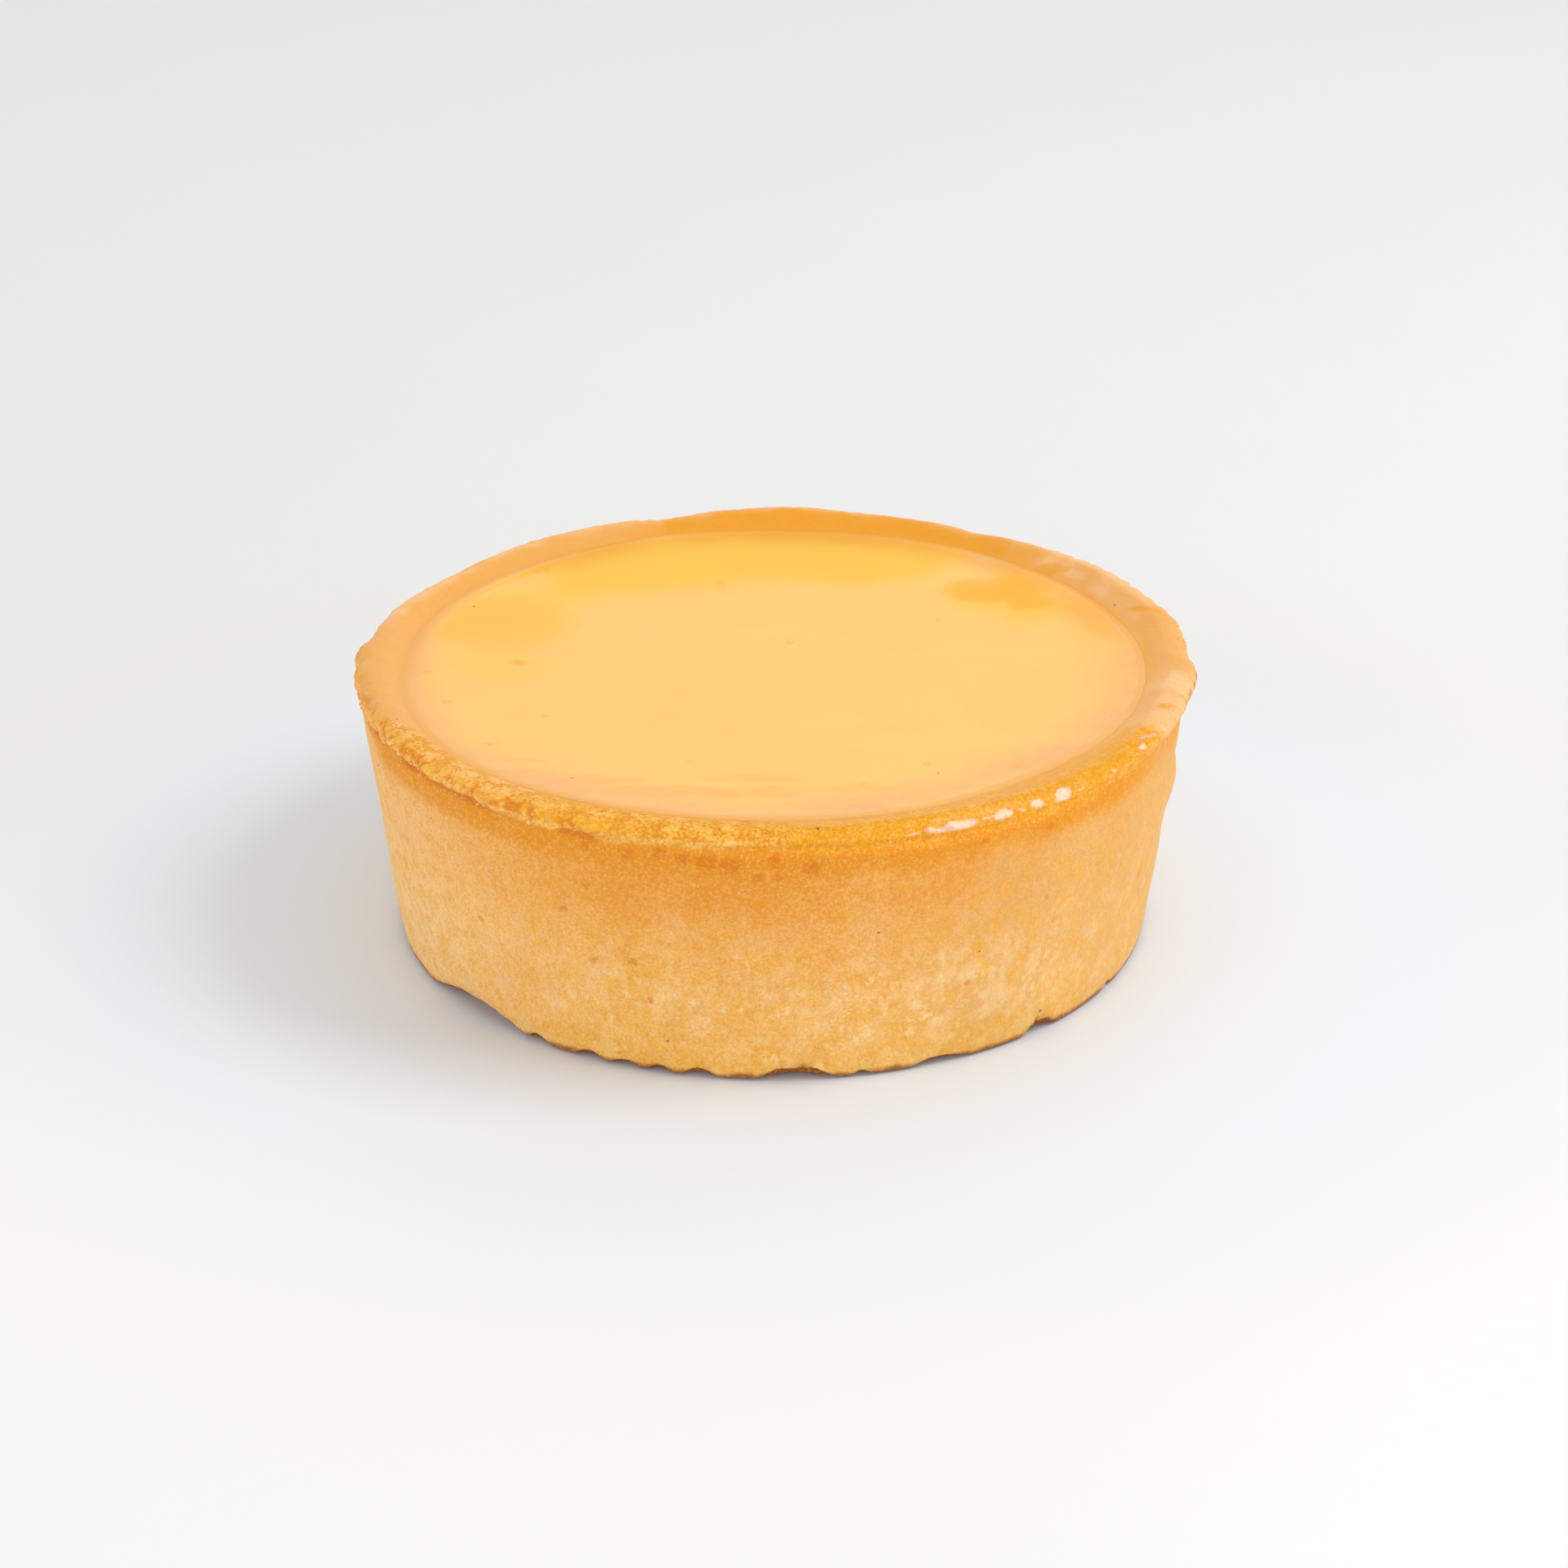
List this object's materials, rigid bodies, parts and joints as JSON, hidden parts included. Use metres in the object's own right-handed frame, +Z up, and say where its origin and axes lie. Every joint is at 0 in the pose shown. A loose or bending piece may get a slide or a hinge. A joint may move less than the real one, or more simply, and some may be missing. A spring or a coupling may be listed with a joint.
{
  "type": "lemon tart",
  "caption": "Small round tart: a tapered shortcrust case with a rounded, crumbly rim, filled with smooth lemon filling to just under the rim.",
  "frame": {"origin": "middle of the flat underside, on the surface that the tart stands on", "axes": "+Z up through the filling, -Y towards the side shown in the picture, +X to that view's right"},
  "size_m": [0.0858, 0.085, 0.0289],
  "materials": {
    "shortcrust": "baked golden shortcrust, matte and finely grained",
    "lemon_filling": "smooth set lemon filling with a soft gloss"
  },
  "bodies": {
    "root": {"pastry_case": "shortcrust", "lemon_filling": "lemon_filling"}
  },
  "joints": []
}
